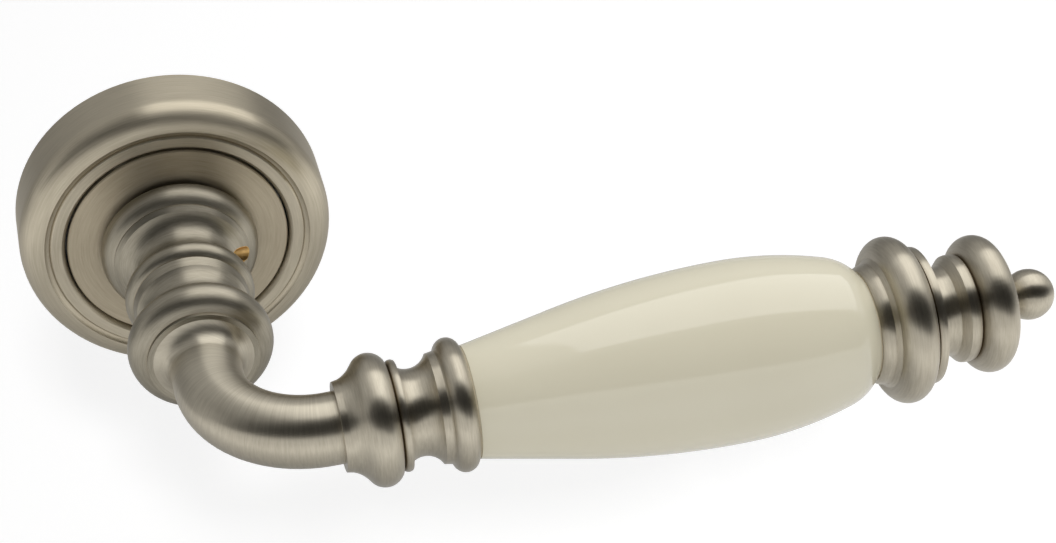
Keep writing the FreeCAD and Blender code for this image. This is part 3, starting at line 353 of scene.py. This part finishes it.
def whiteFloor():
    # Matte white paper. What the eye sees of it is lifted to white, and it keeps the soft shadow.
    # Metal mirrors it with painted shade close by, as if the handle shaded the paper, and with a painted
    # glow farther out.
    bpy.ops.mesh.primitive_plane_add(size=2 * paper["half"] * millimetre,
                                     location=(0, 0, -paper["drop"] * millimetre))
    floor = bpy.context.object
    floor.name = "floor"
    paint, tree, shader = newMaterial("matteWhitePaper")
    ray = addNode(tree, "ShaderNodeLightPath")
    place = addNode(tree, "ShaderNodeTexCoord")
    away = addNode(tree, "ShaderNodeVectorMath", [("operation", "LENGTH")], [(0, (place, "Object"))])
    low, high = paper["sheenEnds"]
    outside = addNode(tree, "ShaderNodeMapRange",
                      [("From Min", low * millimetre), ("From Max", high * millimetre)],
                      [(0, (away, "Value"))])
    parts = addNode(tree, "ShaderNodeSeparateXYZ", links=[(0, (place, "Object"))])
    behind, ahead = paper["sheenSides"]
    before = addNode(tree, "ShaderNodeMapRange",
                     [("From Min", behind * millimetre), ("From Max", ahead * millimetre)],
                     [(0, (parts, "Y"))])
    unshaded = addNode(tree, "ShaderNodeMath", [("operation", "MULTIPLY")], [(0, outside), (1, before)])
    # Painted glow: metal mirrors the paper brighter farther out and towards the front.
    sheen = addNode(tree, "ShaderNodeMath", [("operation", "MULTIPLY"), (1, paper["sheen"])],
                    [(0, unshaded)])
    mirrored = addNode(tree, "ShaderNodeMath", [("operation", "MULTIPLY")],
                       [(0, (ray, "Is Glossy Ray")), (1, sheen)])
    low, high = paper["glowEnds"]
    close, distant = paper["glow"]
    white = addNode(tree, "ShaderNodeMapRange",
                    [("From Min", low * millimetre), ("From Max", high * millimetre),
                     ("To Min", close), ("To Max", distant)], [(0, (away, "Value"))])
    glow = addNode(tree, "ShaderNodeMath", [("operation", "MULTIPLY_ADD")],
                   [(0, (ray, "Is Camera Ray")), (1, white), (2, mirrored)])
    colour = linear(paper["colour"])
    # Painted shade: metal mirrors the paper darker close to the handle.
    shade = addNode(tree, "ShaderNodeMapRange", [("To Min", paper["shade"]), ("To Max", colour[0])],
                    [(0, unshaded)])
    tone = addNode(tree, "ShaderNodeMix", [("data_type", "RGBA"), (6, colour)],
                   [(0, (ray, "Is Glossy Ray")), (7, shade)])
    plug(tree, (tone, 2), shader, "Base Color")
    plug(tree, glow, shader, "Emission Strength")
    shader.inputs["Emission Color"].default_value = (1, 1, 1, 1)
    shader.inputs["Roughness"].default_value = paper["roughness"]
    shader.inputs["Specular IOR Level"].default_value = 0.0
    floor.data.materials.append(paint)


# Levels are brightnesses, where 1 is white. The ends and heights are parts of a direction of length 1.
room = {
    "walls": 0.95,
    "ceiling": 0.42,
    "wallEnds": (0.30, 0.60),
    "rear": (0.34, 0.58),
    "rearHeights": (0.15, 0.55),
    "rearEnds": (-0.1, 0.5),
    "dark": 0.035,
    "darkWay": (-0.05, -0.787, 0.615),
    "darkSpread": (0.05, 1.0, 1.0),
    "darkEnds": (0.72, 0.88),
    "paperEdge": (0.25, 0.30, 0.92),
    "edgeWidth": 0.05,
    "edgeLevel": -0.2,
}


def studioWorld():
    # White walls, a greyer ceiling, and one dark opening high in front, where nothing shines. The
    # white paper's front edge cuts it off sharply below.
    world = bpy.data.worlds.new("studio")
    bpy.context.scene.world = world
    world.use_nodes = True
    tree = world.node_tree
    way = addNode(tree, "ShaderNodeTexCoord")
    parts = addNode(tree, "ShaderNodeSeparateXYZ", links=[(0, way)])
    low, high = room["wallEnds"]
    walls = addNode(tree, "ShaderNodeMapRange",
                    [("interpolation_type", "SMOOTHSTEP"), ("From Min", low), ("From Max", high),
                     ("To Min", room["walls"]), ("To Max", room["ceiling"])], [(0, (parts, "Z"))])
    low, high = room["rearHeights"]
    least, most = room["rear"]
    rear = addNode(tree, "ShaderNodeMapRange",
                   [("interpolation_type", "SMOOTHSTEP"), ("From Min", low), ("From Max", high),
                    ("To Min", least), ("To Max", most)], [(0, (parts, "Z"))])
    low, high = room["rearEnds"]
    behind = addNode(tree, "ShaderNodeMapRange",
                     [("interpolation_type", "SMOOTHSTEP"), ("From Min", low), ("From Max", high)],
                     [(0, (parts, "Y"))])
    around = addNode(tree, "ShaderNodeMix", [("data_type", "FLOAT")],
                     [(0, behind), (2, walls), (3, rear)])
    spread = addNode(tree, "ShaderNodeVectorMath", [("operation", "MULTIPLY"), (1, room["darkSpread"])],
                     [(0, way)])
    level = addNode(tree, "ShaderNodeVectorMath", [("operation", "NORMALIZE")], [(0, spread)])
    near = addNode(tree, "ShaderNodeVectorMath", [("operation", "DOT_PRODUCT"), (1, room["darkWay"])],
                   [(0, level)])
    low, high = room["darkEnds"]
    inside = addNode(tree, "ShaderNodeMapRange",
                     [("interpolation_type", "SMOOTHSTEP"), ("From Min", low), ("From Max", high)],
                     [(0, (near, "Value"))])
    slanting = addNode(tree, "ShaderNodeMath", [("operation", "MAXIMUM"), (1, room["edgeLevel"])],
                       [(0, (parts, "X"))])
    facing = addNode(tree, "ShaderNodeCombineXYZ",
                     links=[(0, slanting), (1, (parts, "Y")), (2, (parts, "Z"))])
    height = addNode(tree, "ShaderNodeVectorMath",
                     [("operation", "DOT_PRODUCT"), (1, room["paperEdge"])], [(0, facing)])
    above = addNode(tree, "ShaderNodeMapRange", [("From Max", room["edgeWidth"])],
                    [(0, (height, "Value"))])
    opening = addNode(tree, "ShaderNodeMath", [("operation", "MULTIPLY")], [(0, inside), (1, above)])
    lit = addNode(tree, "ShaderNodeMix", [("data_type", "FLOAT"), (3, room["dark"])],
                  [(0, opening), (2, around)])
    ray = addNode(tree, "ShaderNodeLightPath")
    seen = addNode(tree, "ShaderNodeMix", [("data_type", "FLOAT"), (3, 1.0)],
                   [(0, (ray, "Is Camera Ray")), (2, lit)])
    backdrop = tree.nodes["Background"]
    backdrop.inputs["Color"].default_value = (1, 1, 1, 1)
    plug(tree, seen, backdrop, "Strength")


# at in metres, turn in degrees, size in metres, power in watts
lamps = {
    "overhead": {"at": (0.40, 0.24, 0.75), "turn": (0, 25, 0), "size": (1.1, 0.93), "power": 4.5,
                 "mirrored": True},
    "front": {"at": (0.05, -1.35, 1.35), "turn": (46, 0, 0), "size": (0.18, 0.18), "power": 6.5,
              "mirrored": False},
}


def softLamp(name, lamp):
    light = bpy.data.lights.new(name, "AREA")
    light.shape = "RECTANGLE"
    light.size, light.size_y = lamp["size"]
    light.energy = lamp["power"]
    holder = bpy.data.objects.new(name, light)
    bpy.context.collection.objects.link(holder)
    holder.location = lamp["at"]
    holder.rotation_euler = [math.radians(a) for a in lamp["turn"]]
    holder.visible_glossy = lamp["mirrored"]


whiteFloor()
studioWorld()
for lampName, lamp in lamps.items():
    softLamp(lampName, lamp)

# at in metres, turn in degrees, lens and sensor in mm, nearest in metres
view = {"at": (-0.008707, -0.314415, 0.217137), "turn": (52.71, 2.07, -14.28), "lens": 74.99,
        "sensor": 36, "nearest": 0.01}
camera = bpy.data.objects.new("camera", bpy.data.cameras.new("camera"))
bpy.context.collection.objects.link(camera)
camera.location = view["at"]
camera.rotation_euler = [math.radians(a) for a in view["turn"]]
camera.data.lens = view["lens"]
camera.data.sensor_width = view["sensor"]
camera.data.clip_start = view["nearest"]
bpy.context.scene.camera = camera
bpy.context.scene.view_settings.view_transform = "Standard"
print("stage: done")
